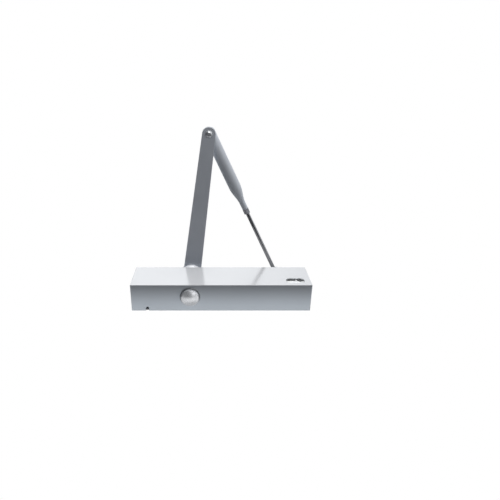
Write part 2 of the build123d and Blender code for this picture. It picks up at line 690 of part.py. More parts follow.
# Regulating valves, screwed in from the front, each with an O-ring
VALVE_HEAD_Y = HOUSING_FRONT + 1.0
VALVE_BODY_R = VALVE_R - RUNNING_FIT
VALVE_GROOVE_Y = HOUSING_FRONT + 6.0
VALVE_TIP_Y = GALLERY_Y - 0.5
for name, valve_x in VALVE_POSITIONS.items():
    with BuildPart() as valve:
        add(
            turned_from_front(
                valve_x,
                VALVE_Z,
                (0, VALVE_HEAD_Y),
                (VALVE_BODY_R - 0.4, VALVE_HEAD_Y),
                (VALVE_BODY_R, VALVE_HEAD_Y + 0.4),
                (VALVE_BODY_R, VALVE_GROOVE_Y - 0.8),
                (VALVE_BODY_R - 1.1, VALVE_GROOVE_Y - 0.8),
                (VALVE_BODY_R - 1.1, VALVE_GROOVE_Y + 0.8),
                (VALVE_BODY_R, VALVE_GROOVE_Y + 0.8),
                (VALVE_BODY_R, VALVE_GROOVE_Y + 2.0),
                (1.6, VALVE_GROOVE_Y + 2.0),
                (0, VALVE_TIP_Y + 2.0),
            ).part
        )
        with BuildSketch(Plane.XZ.offset(-VALVE_HEAD_Y)):
            with Locations((valve_x, VALVE_Z)):
                RegularPolygon(1.7, 6)
        extrude(amount=-2.0, mode=Mode.SUBTRACT)
    save(valve, f"{name}_valve")

    valve_seal = turned_from_front(
        valve_x,
        VALVE_Z,
        (VALVE_BODY_R - 1.1, VALVE_GROOVE_Y - 0.7),
        (VALVE_BODY_R, VALVE_GROOVE_Y - 0.7),
        (VALVE_BODY_R, VALVE_GROOVE_Y + 0.7),
        (VALVE_BODY_R - 1.1, VALVE_GROOVE_Y + 0.7),
    )
    save(valve_seal, f"{name}_valve_seal")

# Cover: one folded shell, open towards the door
with BuildPart() as cover:
    with BuildSketch(Plane.XZ.offset(COVER_REAR_GAP)):
        RectangleRounded(BODY_LENGTH, BODY_HEIGHT, COVER_CORNER)
    extrude(amount=BODY_DEPTH - COVER_REAR_GAP)
    fillet(cover.faces().sort_by(Axis.Y)[0].edges(), COVER_EDGE)
    with BuildSketch(Plane.XZ.offset(COVER_REAR_GAP)):
        RectangleRounded(BODY_LENGTH - 2 * COVER_WALL, BODY_HEIGHT - 2 * COVER_WALL, 0.8)
    extrude(amount=BODY_DEPTH - COVER_REAR_GAP - COVER_WALL, mode=Mode.SUBTRACT)
    with BuildSketch(Plane.XY.offset(-BODY_HEIGHT / 2)):
        with Locations(PINION_PLACE):
            Circle(COVER_HOLE_R)
    extrude(amount=BODY_HEIGHT, mode=Mode.SUBTRACT)
    with BuildSketch(Plane.XZ.offset(BODY_DEPTH)):
        with Locations((WINDOW_X, WINDOW_Z)):
            SlotOverall(WINDOW_LENGTH, WINDOW_HEIGHT)
    extrude(amount=-COVER_WALL, mode=Mode.SUBTRACT)
    # Pry notch in the rear edge of the underside
    NOTCH_WIDTH = 5.0
    NOTCH_DEPTH = 4.5
    with BuildSketch(Plane.XY.offset(-BODY_HEIGHT / 2)):
        with Locations((NOTCH_X, -COVER_REAR_GAP)):
            SlotOverall(2 * NOTCH_DEPTH + NOTCH_WIDTH, NOTCH_WIDTH, rotation=90)
    extrude(amount=COVER_WALL, mode=Mode.SUBTRACT)
save(cover, "cover")

# Window lens, let into the cover from behind
LENS_FLANGE = 2.0
LENS_FRONT = -BODY_DEPTH + 0.5
COVER_INNER_FRONT = -BODY_DEPTH + COVER_WALL
with BuildPart() as indicator_window:
    with BuildSketch(Plane.XZ.offset(-LENS_FRONT)):
        with Locations((WINDOW_X, WINDOW_Z)):
            SlotOverall(WINDOW_LENGTH - 0.1, WINDOW_HEIGHT - 0.1)
    extrude(amount=LENS_FRONT - COVER_INNER_FRONT)
    with BuildSketch(Plane.XZ.offset(-COVER_INNER_FRONT)):
        with Locations((WINDOW_X, WINDOW_Z)):
            SlotOverall(WINDOW_LENGTH + 2 * LENS_FLANGE, WINDOW_HEIGHT + 2 * LENS_FLANGE)
    extrude(amount=-0.8)
save(indicator_window, "indicator_window")

# Spring clips at the plate's ends, which grip the cover's end walls
CLIP_STRIP = 1.0
CLIP_FRONT = -PLATE_THICKNESS - CLIP_STRIP
CLIP_HALF_HEIGHT = 7.0
CLIP_BEND_X = PLATE_LENGTH / 2 - 0.6
CLIP_BULGE_X = BODY_LENGTH / 2 - COVER_WALL
with BuildPart() as cover_clips:
    with BuildSketch(Plane.XY.offset(9.5)):
        for end in (1, -1):
            Polygon(
                (end * (CLIP_BEND_X - 12), -PLATE_THICKNESS),
                (end * CLIP_BEND_X, -PLATE_THICKNESS),
                (end * CLIP_BEND_X, -PLATE_THICKNESS - 5),
                (end * CLIP_BULGE_X, -PLATE_THICKNESS - 8),
                (end * (CLIP_BEND_X - 1), -PLATE_THICKNESS - 13),
                (end * (CLIP_BEND_X - 1.7), -PLATE_THICKNESS - 12.3),
                (end * (CLIP_BULGE_X - 1.2), -PLATE_THICKNESS - 8),
                (end * (CLIP_BEND_X - CLIP_STRIP), -PLATE_THICKNESS - 5),
                (end * (CLIP_BEND_X - CLIP_STRIP), CLIP_FRONT),
                (end * (CLIP_BEND_X - 12), CLIP_FRONT),
                align=None,
            )
    extrude(amount=3)
save(cover_clips, "cover_clips")

# Cap over the spare end of the shaft, pressed on the lower gland
CAP_R = 15.0
CAP_RIM = -34.4
CAP_ROUND = 2.2
CAP_CROWN = 2.0
CAP_INSIDE = -32.4
with BuildPart() as spindle_cap:
    with BuildSketch(upright_profile(PINION_PLACE)):
        with BuildLine():
            Polyline(
                (0, CAP_INSIDE),
                (GLAND_R - 1.2, CAP_INSIDE),
                (GLAND_R + 0.02, CAP_INSIDE + 1.2),
                (GLAND_R + 0.02, -26.6),
                (CAP_R, -26.6),
                (CAP_R, CAP_RIM + CAP_ROUND),
            )
            rim = JernArc((CAP_R, CAP_RIM + CAP_ROUND), (0, -1), CAP_ROUND, -78)
            crown = Spline(rim @ 1, (0, CAP_RIM - CAP_CROWN), tangents=(rim % 1, (-1, 0)))
            Line(crown @ 1, (0, CAP_INSIDE))
        make_face()
    revolve(axis=upright_axis(PINION_PLACE))
save(spindle_cap, "spindle_cap")

# Main arm: flat tapered bar on a round flared hub with a square stub
with BuildPart() as main_arm:
    with BuildSketch(Plane.XY.offset(ARM_BOTTOM)):
        with Locations(PINION_PLACE):
            Circle(ARM_PIVOT_R)
        with Locations(KNUCKLE_PLACE):
            Circle(ARM_TIP_R)
        make_hull()
        with Locations(PINION_PLACE):
            Circle(ARM_DISC_R)
    extrude(amount=ARM_THICKNESS)
    chamfer(main_arm.faces().sort_by(Axis.Z)[0].edges(), 0.4)
    chamfer(main_arm.faces().sort_by(Axis.Z)[-1].edges(), 0.4)
    with BuildSketch(Plane.XY.offset(ARM_BOTTOM)):
        with Locations(PINION_PLACE):
            Circle(3.2)
        with Locations(KNUCKLE_PLACE):
            Circle(PIN_R)
    extrude(amount=ARM_THICKNESS, mode=Mode.SUBTRACT)
save(main_arm, "main_arm")

STUB_TIP = SHAFT_END - SOCKET_DEPTH + 0.5
HUB_NECK_R = 15.0
HUB_FLARE = 36.0
with BuildPart() as main_arm_hub:
    add(
        turned_upright(
            PINION_PLACE,
            (0, HUB_BOTTOM),
            (HUB_NECK_R - 0.6, HUB_BOTTOM),
            (HUB_NECK_R, HUB_BOTTOM + 0.6),
            (HUB_NECK_R, HUB_FLARE),
            (HUB_R, HUB_FLARE + HUB_R - HUB_NECK_R),
            (HUB_R, ARM_BOTTOM),
            (0, ARM_BOTTOM),
        ).part
    )
    with BuildSketch(Plane((*PINION_PLACE, STUB_TIP))):
        Rectangle(SOCKET_SIDE - 0.1, SOCKET_SIDE - 0.1)
    extrude(amount=HUB_BOTTOM - STUB_TIP)
    with BuildSketch(Plane((*PINION_PLACE, STUB_TIP))):
        Circle(3.2)
    extrude(amount=ARM_BOTTOM - STUB_TIP, mode=Mode.SUBTRACT)
save(main_arm_hub, "main_arm_hub")

WASHER_TOP = ARM_TOP + 1.4
with BuildPart() as arm_washer:
    with BuildSketch(Plane((*PINION_PLACE, ARM_TOP))):
        Circle(8)
        Circle(3.2, mode=Mode.SUBTRACT)
    extrude(amount=WASHER_TOP - ARM_TOP)
save(arm_washer, "arm_washer")

SCREW_TIP = 9.0
with BuildPart() as arm_screw:
    with BuildSketch(Plane((*PINION_PLACE, SCREW_TIP))):
        Circle(2.5)
    extrude(amount=STUB_TIP - SCREW_TIP - 0.5)
    with BuildSketch(Plane((*PINION_PLACE, STUB_TIP - 0.5))):
        Circle(3.0)
    extrude(amount=WASHER_TOP - STUB_TIP + 0.5)
    with BuildSketch(Plane((*PINION_PLACE, WASHER_TOP))):
        Circle(5)
    extrude(amount=4.5)
    chamfer(arm_screw.faces().sort_by(Axis.Z)[-1].edges(), 0.4)
    with BuildSketch(Plane((*PINION_PLACE, WASHER_TOP + 4.5))):
        RegularPolygon(2.9, 6)
    extrude(amount=-2.8, mode=Mode.SUBTRACT)
save(arm_screw, "arm_screw")

# Knuckle: domed rivet pin, thrust washer, bush and retaining ring
TUBE_FLAT = 8.0
KNUCKLE_FLAT = FOREARM_Z - TUBE_FLAT
KNUCKLE_TOP = FOREARM_Z + TUBE_FLAT
RIVET_HEAD_R = 5.8
RIVET_HEAD_HEIGHT = 3.0
RING_THICKNESS = 1.0
RIVET_TIP = KNUCKLE_TOP + RING_THICKNESS + 1.2
with BuildPart() as knuckle_rivet:
    with BuildSketch(upright_profile(KNUCKLE_PLACE)):
        with BuildLine():
            dome = ThreePointArc(
                (0, ARM_BOTTOM - RIVET_HEAD_HEIGHT),
                (RIVET_HEAD_R * 0.72, ARM_BOTTOM - RIVET_HEAD_HEIGHT * 0.62),
                (RIVET_HEAD_R, ARM_BOTTOM),
            )
            Polyline(
                dome @ 1,
                (PIN_R, ARM_BOTTOM),
                (PIN_R, KNUCKLE_TOP + 0.1),
                (PIN_R - 0.7, KNUCKLE_TOP + 0.1),
                (PIN_R - 0.7, KNUCKLE_TOP + 0.1 + RING_THICKNESS),
                (PIN_R, KNUCKLE_TOP + 0.1 + RING_THICKNESS),
                (PIN_R, RIVET_TIP - 0.4),
                (PIN_R - 0.4, RIVET_TIP),
                (0, RIVET_TIP),
                dome @ 0,
            )
        make_face()
    revolve(axis=upright_axis(KNUCKLE_PLACE))
save(knuckle_rivet, "knuckle_rivet")

with BuildPart() as knuckle_washer:
    with BuildSketch(Plane((*KNUCKLE_PLACE, ARM_TOP))):
        Circle(8)
        Circle(PIN_R, mode=Mode.SUBTRACT)
    extrude(amount=KNUCKLE_FLAT - ARM_TOP - 0.1)
save(knuckle_washer, "knuckle_washer")

BUSH_R = 5.6
BUSH_BORE_R = PIN_R + RUNNING_FIT
with BuildPart() as knuckle_bush:
    with BuildSketch(Plane((*KNUCKLE_PLACE, KNUCKLE_FLAT))):
        Circle(BUSH_R)
        Circle(BUSH_BORE_R, mode=Mode.SUBTRACT)
    extrude(amount=KNUCKLE_TOP - KNUCKLE_FLAT)
save(knuckle_bush, "knuckle_bush")

RING_OUTER_R = 6.6
with BuildPart() as knuckle_ring:
    with BuildSketch(Plane((*KNUCKLE_PLACE, KNUCKLE_TOP + 0.1))):
        Circle(RING_OUTER_R)
        Circle(PIN_R - 0.7, mode=Mode.SUBTRACT)
        with Locations((-RING_OUTER_R, 0)):
            Rectangle(2 * RING_OUTER_R, 3, mode=Mode.SUBTRACT)
    extrude(amount=RING_THICKNESS)
save(knuckle_ring, "knuckle_ring")

# Forearm tube: round-nosed tube that tapers to the lock nut
FOREARM_AXIS = Axis((*KNUCKLE_PLACE, FOREARM_Z), FOREARM_DIR)
FOREARM_PROFILE = Plane((*KNUCKLE_PLACE, FOREARM_Z), x_dir=FOREARM_DIR, z_dir=(0, 0, 1))
FOREARM_SECTION = Plane((*KNUCKLE_PLACE, FOREARM_Z), x_dir=(0, 0, 1), z_dir=FOREARM_DIR)
ROD_BORE_R = ROD_R + ROD_FIT
TUBE_BORE_START = 30.0
with BuildPart() as forearm_tube:
    with BuildSketch(FOREARM_PROFILE):
        with BuildLine():
            nose = Spline((-TUBE_NOSE, 0), (0, TUBE_R), tangents=((0, 1), (1, 0)))
            barrel = Line(nose @ 1, (TUBE_STRAIGHT, TUBE_R))
            taper = Spline(
                barrel @ 1, (TUBE_TAPER_END, TUBE_TIP_R), tangents=((1, 0), (1, -0.08))
            )
            Polyline(
                taper @ 1,
                (TUBE_LENGTH - 0.4, TUBE_TIP_R - 0.1),
                (TUBE_LENGTH, TUBE_TIP_R - 0.5),
                (TUBE_LENGTH, ROD_BORE_R),
                (TUBE_BORE_START, ROD_BORE_R),
                (TUBE_BORE_START, 0),
                nose @ 0,
            )
        make_face()
    revolve(axis=FOREARM_AXIS)
    for flat, way in ((KNUCKLE_FLAT, -1), (KNUCKLE_TOP, 1)):
        with BuildSketch(Plane((*KNUCKLE_PLACE, flat))):
            Circle(TUBE_R + 0.5)
        extrude(amount=way * 5, mode=Mode.SUBTRACT)
    with BuildSketch(Plane((*KNUCKLE_PLACE, KNUCKLE_FLAT))):
        Circle(BUSH_R)
    extrude(amount=KNUCKLE_TOP - KNUCKLE_FLAT, mode=Mode.SUBTRACT)
save(forearm_tube, "forearm_tube")

with BuildPart() as lock_nut:
    with BuildSketch(FOREARM_SECTION.offset(TUBE_LENGTH)):
        RegularPolygon(5.6, 6)
        Circle(ROD_BORE_R, mode=Mode.SUBTRACT)
    extrude(amount=LOCK_NUT_LENGTH)
    chamfer(lock_nut.faces().sort_by(FOREARM_AXIS)[-1].outer_wire().edges(), 0.6)
save(lock_nut, "lock_nut")

# Forearm rod with a flat eye for the foot pin
with BuildPart() as forearm_rod:
    with BuildSketch(FOREARM_SECTION.offset(ROD_START)):
        Circle(ROD_R)
    extrude(amount=FOREARM_LENGTH - EYE_R + 1.0 - ROD_START)
    with BuildSketch(Plane((*FOOT_PLACE, FOREARM_Z - EYE_THICKNESS / 2))):
        Circle(EYE_R)
    extrude(amount=EYE_THICKNESS)
    with BuildSketch(Plane((*FOOT_PLACE, FOREARM_Z - EYE_THICKNESS / 2))):
        Circle(PIN_R + 1.2)
    extrude(amount=EYE_THICKNESS, mode=Mode.SUBTRACT)
save(forearm_rod, "forearm_rod")

with BuildPart() as foot_bush:
    with BuildSketch(Plane((*FOOT_PLACE, FOREARM_Z - EYE_THICKNESS / 2))):
        Circle(PIN_R + 1.2)
        Circle(BUSH_BORE_R, mode=Mode.SUBTRACT)
    extrude(amount=EYE_THICKNESS)
save(foot_bush, "foot_bush")

# Foot bracket: base plate for the door frame with two ears around the rod's eye
FOOT_PLATE_LENGTH = 72.0
FOOT_PLATE_HEIGHT = 34.0
FOOT_PLATE_THICKNESS = 4.0
FOOT_HOLE_R = 3.0
FOOT_HOLE_SPACING = 52.0
EAR_GAP = EYE_THICKNESS / 2 + 0.6
EAR_PLATE = 4.0
FOOT_EAR_R = 8.8
with BuildPart() as foot_bracket:
    with BuildSketch(Plane((FOOT_X, 0, FOREARM_Z), x_dir=(1, 0, 0), z_dir=(0, -1, 0))):
        RectangleRounded(FOOT_PLATE_LENGTH, FOOT_PLATE_HEIGHT, 6)
        with GridLocations(FOOT_HOLE_SPACING, 0, 2, 1):
            Circle(FOOT_HOLE_R, mode=Mode.SUBTRACT)
    extrude(amount=FOOT_PLATE_THICKNESS)
    for way in (1, -1):
        with BuildSketch(Plane((*FOOT_PLACE, FOREARM_Z + way * EAR_GAP))):
            Circle(FOOT_EAR_R)
            with Locations((0, (-FOOT_Y - FOOT_PLATE_THICKNESS + 0.5) / 2)):
                Rectangle(2 * FOOT_EAR_R, -FOOT_Y - FOOT_PLATE_THICKNESS + 0.5)
            Circle(PIN_R, mode=Mode.SUBTRACT)
        extrude(amount=way * EAR_PLATE)
    chamfer(foot_bracket.faces().sort_by(Axis.Y)[-1].outer_wire().edges(), 0.5)
save(foot_bracket, "foot_bracket")

EAR_UNDERSIDE = FOREARM_Z - EAR_GAP - EAR_PLATE
EAR_TOPSIDE = FOREARM_Z + EAR_GAP + EAR_PLATE
foot_pin = turned_upright(
    FOOT_PLACE,
    (0, EAR_UNDERSIDE - 2.5),
    (5.4, EAR_UNDERSIDE - 2.5),
    (6.0, EAR_UNDERSIDE - 1.9),
    (6.0, EAR_UNDERSIDE),
    (PIN_R, EAR_UNDERSIDE),
    (PIN_R, EAR_TOPSIDE),
    (PIN_R - 0.7, EAR_TOPSIDE),
    (PIN_R - 0.7, EAR_TOPSIDE + RING_THICKNESS),
    (PIN_R, EAR_TOPSIDE + RING_THICKNESS),
    (PIN_R, EAR_TOPSIDE + RING_THICKNESS + 0.8),
    (PIN_R - 0.4, EAR_TOPSIDE + RING_THICKNESS + 1.2),
    (0, EAR_TOPSIDE + RING_THICKNESS + 1.2),
)
save(foot_pin, "foot_pin")

with BuildPart() as foot_ring:
    with BuildSketch(Plane((*FOOT_PLACE, EAR_TOPSIDE))):
        Circle(RING_OUTER_R)
        Circle(PIN_R - 0.7, mode=Mode.SUBTRACT)
        with Locations((RING_OUTER_R, 0)):
            Rectangle(2 * RING_OUTER_R, 3, mode=Mode.SUBTRACT)
    extrude(amount=RING_THICKNESS)
save(foot_ring, "foot_ring")
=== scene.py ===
"""Studio scene of the door closer: materials, fine pieces, lights and camera round the CAD frame."""
import json
import math

import bmesh
import bpy
from mathutils import Matrix, Vector


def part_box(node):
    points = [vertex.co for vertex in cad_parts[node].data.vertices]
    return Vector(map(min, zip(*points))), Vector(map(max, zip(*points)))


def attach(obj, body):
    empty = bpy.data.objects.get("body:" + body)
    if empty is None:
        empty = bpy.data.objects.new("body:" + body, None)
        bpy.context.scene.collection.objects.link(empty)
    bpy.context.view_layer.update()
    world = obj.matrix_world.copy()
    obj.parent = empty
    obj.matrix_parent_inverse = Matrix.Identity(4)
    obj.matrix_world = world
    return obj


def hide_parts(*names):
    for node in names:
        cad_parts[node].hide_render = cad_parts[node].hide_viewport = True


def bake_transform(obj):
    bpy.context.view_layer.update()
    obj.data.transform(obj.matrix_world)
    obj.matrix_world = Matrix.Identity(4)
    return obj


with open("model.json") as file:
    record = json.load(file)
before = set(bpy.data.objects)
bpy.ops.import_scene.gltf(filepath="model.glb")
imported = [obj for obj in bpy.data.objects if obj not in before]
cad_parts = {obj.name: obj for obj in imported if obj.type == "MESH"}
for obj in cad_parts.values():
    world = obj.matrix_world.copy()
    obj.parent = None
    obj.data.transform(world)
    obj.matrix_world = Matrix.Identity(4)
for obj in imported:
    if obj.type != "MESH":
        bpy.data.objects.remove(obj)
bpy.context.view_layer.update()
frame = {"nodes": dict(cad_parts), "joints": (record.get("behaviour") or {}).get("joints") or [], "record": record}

MM = 0.001
NODES = frame["nodes"]
JOINTS = {joint["name"]: joint for joint in frame["joints"]}


# ---------------------------------------------------------------- node helpers

class Nodes:
    """A node tree and the few steps that its textures and lights are made of."""

    def __init__(self, tree):
        self.tree = tree

    def node(self, kind, **settings):
        made = self.tree.nodes.new(kind)
        for key, value in settings.items():
            if key in made.inputs:
                made.inputs[key].default_value = value
            else:
                setattr(made, key, value)
        return made

    def link(self, output, target):
        self.tree.links.new(output, target)

    def remap(self, value, low, high, out_low, out_high, **settings):
        made = self.node("ShaderNodeMapRange", **settings)
        limits = {"From Min": low, "From Max": high, "To Min": out_low, "To Max": out_high}
        for key, number in limits.items():
            made.inputs[key].default_value = number
        self.link(value, made.inputs["Value"])
        return made.outputs["Result"]

    def maths(self, operation, first, second):
        made = self.node("ShaderNodeMath", operation=operation)
        self.link(first, made.inputs[0])
        self.link(second, made.inputs[1])
        return made.outputs[0]

    def times(self, first, second):
        return self.maths("MULTIPLY", first, second)

    def plus(self, first, second):
        return self.maths("ADD", first, second)


class Shader(Nodes):
    """One Principled material and the textures that drive it."""

    def __init__(self, name, **sockets):
        self.material = bpy.data.materials.new(name)
        self.material.use_nodes = True
        super().__init__(self.material.node_tree)
        self.principled = self.tree.nodes["Principled BSDF"]
        for socket, value in sockets.items():
            self.principled.inputs[socket.replace("_", " ")].default_value = value

    def place(self, stretch=(1, 1, 1), centre=(0, 0, 0), turn=0):
        """Object coordinates seen from centre, turned about Z and stretched."""
        coordinates = self.node("ShaderNodeTexCoord").outputs["Object"]
        moved = self.node("ShaderNodeVectorMath", operation="SUBTRACT")
        moved.inputs[1].default_value = centre
        self.link(coordinates, moved.inputs[0])
        mapping = self.node("ShaderNodeMapping", Rotation=(0, 0, turn), Scale=stretch)
        self.link(moved.outputs[0], mapping.inputs["Vector"])
        return mapping.outputs["Vector"]

    def noise(self, where, scale, detail=3, roughness=0.5):
        made = self.node("ShaderNodeTexNoise", Scale=scale, Detail=detail, Roughness=roughness)
        self.link(where, made.inputs["Vector"])
        return made.outputs["Fac"]

    def spread(self, noise, out_low, out_high):
        """The middle of a noise's range, stretched over a range of values."""
        return self.remap(noise, 0.3, 0.7, out_low, out_high)

    def length(self, vector):
        made = self.node("ShaderNodeVectorMath", operation="LENGTH")
        self.link(vector, made.inputs[0])
        return made.outputs["Value"]

    def blend(self, mask, base, other):
        """Colour that goes from base to a fixed other colour by mask."""
        made = self.node("ShaderNodeMix", data_type="RGBA")
        self.link(mask, made.inputs[0])
        self.link(base, made.inputs[6])
        made.inputs[7].default_value = (*other, 1)
        return made.outputs[2]

    def ramp(self, value, *stops):
        made = self.node("ShaderNodeValToRGB")
        elements = made.color_ramp.elements
        while len(elements) < len(stops):
            elements.new(0.5)
        for element, (position, colour) in zip(elements, stops):
            element.position = position
            element.color = (*colour, 1)
        self.link(value, made.inputs["Fac"])
        return made.outputs["Color"]

    def colour(self, output):
        self.link(output, self.principled.inputs["Base Color"])

    def roughness(self, output):
        self.link(output, self.principled.inputs["Roughness"])

    def bump(self, *layers):
        """Chain (height, strength, distance) layers into the shader's normal."""
        normal = None
        for height, strength, distance in layers:
            made = self.node("ShaderNodeBump", Strength=strength, Distance=distance)
            self.link(height, made.inputs["Height"])
            if normal is not None:
                self.link(normal, made.inputs["Normal"])
            normal = made.outputs["Normal"]
        self.link(normal, self.principled.inputs["Normal"])


# ---------------------------------------------------------------- materials

def edge_scuff_and_shade(shader, radius, low, high, least=0.0):
    """0 on open faces and 1 on convex edges, broken up so that the edge tint is uneven; the tint is scuffing on
    some finishes and painted dark reflection on the cover.
    """
    rounded = shader.node("ShaderNodeBevel", samples=4, Radius=radius)
    flat = shader.node("ShaderNodeNewGeometry").outputs["Normal"]
    dot = shader.node("ShaderNodeVectorMath", operation="DOT_PRODUCT")
    shader.link(rounded.outputs["Normal"], dot.inputs[0])
    shader.link(flat, dot.inputs[1])
    edge = shader.remap(dot.outputs["Value"], 0.99, 0.80, 0.0, 1.0)
    patches = shader.noise(shader.place(), 190, detail=5, roughness=0.7)
    return shader.times(edge, shader.remap(patches, low, high, least, 1))


def satin_paint(name, pale, deep, edge_scuff_and_shade_colour, metallic, roughness, edge_scuff_and_shade_band=(0.0006, 0.0), painted_shade=None):
    """Silver satin paint: fine flake, orange peel, hairline scratches, soft smudges and tinted edges.
    The edge band is (radius of the tinted edges, least tint along them); a pale edge colour stands for scuffed
    paint, a dark one is painted dark reflection.
    The last argument, (centre, near, far, colour), is painted shade: the paint darkened round a joint, where
    shadow falls."""
    shader = Shader(name, Metallic=metallic, Coat_Weight=0.12, Coat_Roughness=0.15, Specular_IOR_Level=0.5)
    here = shader.place()
    flake = shader.noise(here, 2600, detail=2, roughness=0.7)
    cloud = shader.noise(here, 14, detail=4, roughness=0.55)
    mixed = shader.plus(shader.spread(flake, 0.0, 0.5), shader.spread(cloud, 0.0, 0.5))
    paint = shader.ramp(mixed, (0.0, deep), (1.0, pale))
    # painted shade: the paint darkens towards the given centre, standing in for shadow round a joint
    if painted_shade is not None:
        centre, near, far, dark = painted_shade
        distance = shader.length(shader.place(centre=centre))
        paint = shader.blend(shader.remap(distance, far, near, 0.0, 1.0), paint, dark)
    radius, least = edge_scuff_and_shade_band
    # edge tint: a pale colour is scuffed paint, the cover's dark one is painted dark reflection on its rounded
    # edges
    edge_scuff_and_shade_mask = edge_scuff_and_shade(shader, radius, 0.42, 0.62, least)
    shader.colour(shader.blend(edge_scuff_and_shade_mask, paint, edge_scuff_and_shade_colour))
    smudge = shader.noise(shader.place(stretch=(1.0, 2.2, 2.2)), 22, detail=5, roughness=0.6)
    hairs = shader.noise(shader.place(stretch=(60, 3400, 3400), turn=0.06), 1.0, detail=2, roughness=0.5)
    gloss = shader.spread(smudge, roughness * 0.85, roughness * 1.15)
    shader.roughness(shader.plus(gloss, shader.remap(hairs, 0.62, 0.8, 0.0, 0.08)))
    peel = shader.noise(here, 520, detail=2, roughness=0.4)
    shader.bump((peel, 0.05, 0.0002), (flake, 0.03, 0.00005), (hairs, 0.02, 0.00003))
    return shader.material


def brushed_metal(name, pale, deep, roughness, along=(1, 1, 1), turn=0.0):
    """Drawn or ground steel: lines that run along one direction, with stains and dull spots."""
    shader = Shader(name, Metallic=1.0)
    lines = shader.noise(shader.place(stretch=along, turn=turn), 900, detail=4, roughness=0.65)
    stain = shader.noise(shader.place(), 45, detail=5, roughness=0.6)
    mixed = shader.plus(shader.spread(lines, 0.0, 0.45), shader.remap(stain, 0.35, 0.7, 0.0, 0.55))
    shader.colour(shader.ramp(mixed, (0.0, deep), (1.0, pale)))
    shader.roughness(shader.remap(mixed, 0.0, 1.0, roughness * 1.25, roughness * 0.85))
    shader.bump((lines, 0.12, 0.00006), (stain, 0.05, 0.0001))
    return shader.material


def turned_metal(name, pale, deep, roughness, centre, metallic=1.0):
    """Metal faced on a lathe: concentric tool marks about a vertical axis through centre."""
    shader = Shader(name, Metallic=metallic)
    radius = shader.length(shader.place(stretch=(1, 1, 0), centre=centre))
    ring = shader.node("ShaderNodeTexNoise", noise_dimensions="1D", Scale=2600, Detail=3, Roughness=0.7)
    shader.link(radius, ring.inputs["W"])
    marks = ring.outputs["Fac"]
    stain = shader.noise(shader.place(), 120, detail=4, roughness=0.6)
    mixed = shader.plus(shader.spread(marks, 0.0, 0.6), shader.remap(stain, 0.35, 0.7, 0.0, 0.4))
    shader.colour(shader.ramp(mixed, (0.0, deep), (1.0, pale)))
    shader.roughness(shader.remap(mixed, 0.0, 1.0, roughness * 1.3, roughness * 0.8))
    shader.bump((marks, 0.10, 0.00005), (stain, 0.04, 0.0001))
    return shader.material


def zinc_plate(name, pale, deep):
    """Bright zinc with its crystalline clouding and dulled edges."""
    shader = Shader(name, Metallic=1.0)
    here = shader.place()
    cells = shader.node("ShaderNodeTexVoronoi", Scale=420)
    shader.link(here, cells.inputs["Vector"])
    cloud = shader.noise(here, 160, detail=4, roughness=0.65)
    mixed = shader.plus(
        shader.remap(cells.outputs["Distance"], 0.0, 0.8, 0.0, 0.4),
        shader.spread(cloud, 0.0, 0.6),
    )
    plate = shader.ramp(mixed, (0.0, deep), (1.0, pale))
    shader.colour(shader.blend(edge_scuff_and_shade(shader, 0.0004, 0.4, 0.6), plate, (0.38, 0.37, 0.36)))
    shader.roughness(shader.remap(mixed, 0.0, 1.0, 0.42, 0.26))
    shader.bump((cloud, 0.08, 0.0001))
    return shader.material


def moulded(name, pale, deep, roughness):
    """Moulded plastic or rubber with a fine grain and faint flow marks."""
    shader = Shader(name)
    here = shader.place()
    grain = shader.noise(here, 1500, detail=3, roughness=0.6)
    flow = shader.noise(shader.place(stretch=(1, 4, 1)), 90, detail=3, roughness=0.5)
    mixed = shader.plus(shader.spread(grain, 0.0, 0.5), shader.spread(flow, 0.0, 0.5))
    shader.colour(shader.ramp(mixed, (0.0, deep), (1.0, pale)))
    shader.roughness(shader.spread(flow, roughness * 0.9, roughness * 1.1))
    shader.bump((grain, 0.10, 0.00008))
    return shader.material


def clear_lens(name):
    """Clear acrylic with faint wipe marks."""
    shader = Shader(name, Base_Color=(0.90, 0.94, 0.96, 1), IOR=1.49, Alpha=0.08)
    wipe = shader.noise(shader.place(stretch=(1, 1, 6)), 160, detail=4, roughness=0.6)
    shader.roughness(shader.spread(wipe, 0.03, 0.12))
    shader.bump((wipe, 0.03, 0.00005))
    return shader.material


def cast_metal(name):
    """Die-cast aluminium: a matt skin with small pits."""
    shader = Shader(name, Metallic=1.0)
    here = shader.place()
    skin = shader.noise(here, 700, detail=5, roughness=0.7)
    cloud = shader.noise(here, 30, detail=3, roughness=0.5)
    mixed = shader.plus(shader.spread(skin, 0.0, 0.5), shader.spread(cloud, 0.0, 0.5))
    shader.colour(shader.ramp(mixed, (0.0, (0.40, 0.40, 0.41)), (1.0, (0.60, 0.60, 0.61))))
    shader.roughness(shader.spread(skin, 0.45, 0.62))
    shader.bump((skin, 0.25, 0.0002))
    return shader.material


SHAFT = Vector(JOINTS["pinion_turn"]["pos_m"])
KNUCKLE = Vector(JOINTS["knuckle_turn"]["pos_m"])
FOOT = Vector(JOINTS["foot_turn"]["pos_m"])
FOREARM_AXIS = Vector(JOINTS["forearm_length"]["axis"]).normalized()
FOREARM_TURN = math.atan2(FOREARM_AXIS.y, FOREARM_AXIS.x)

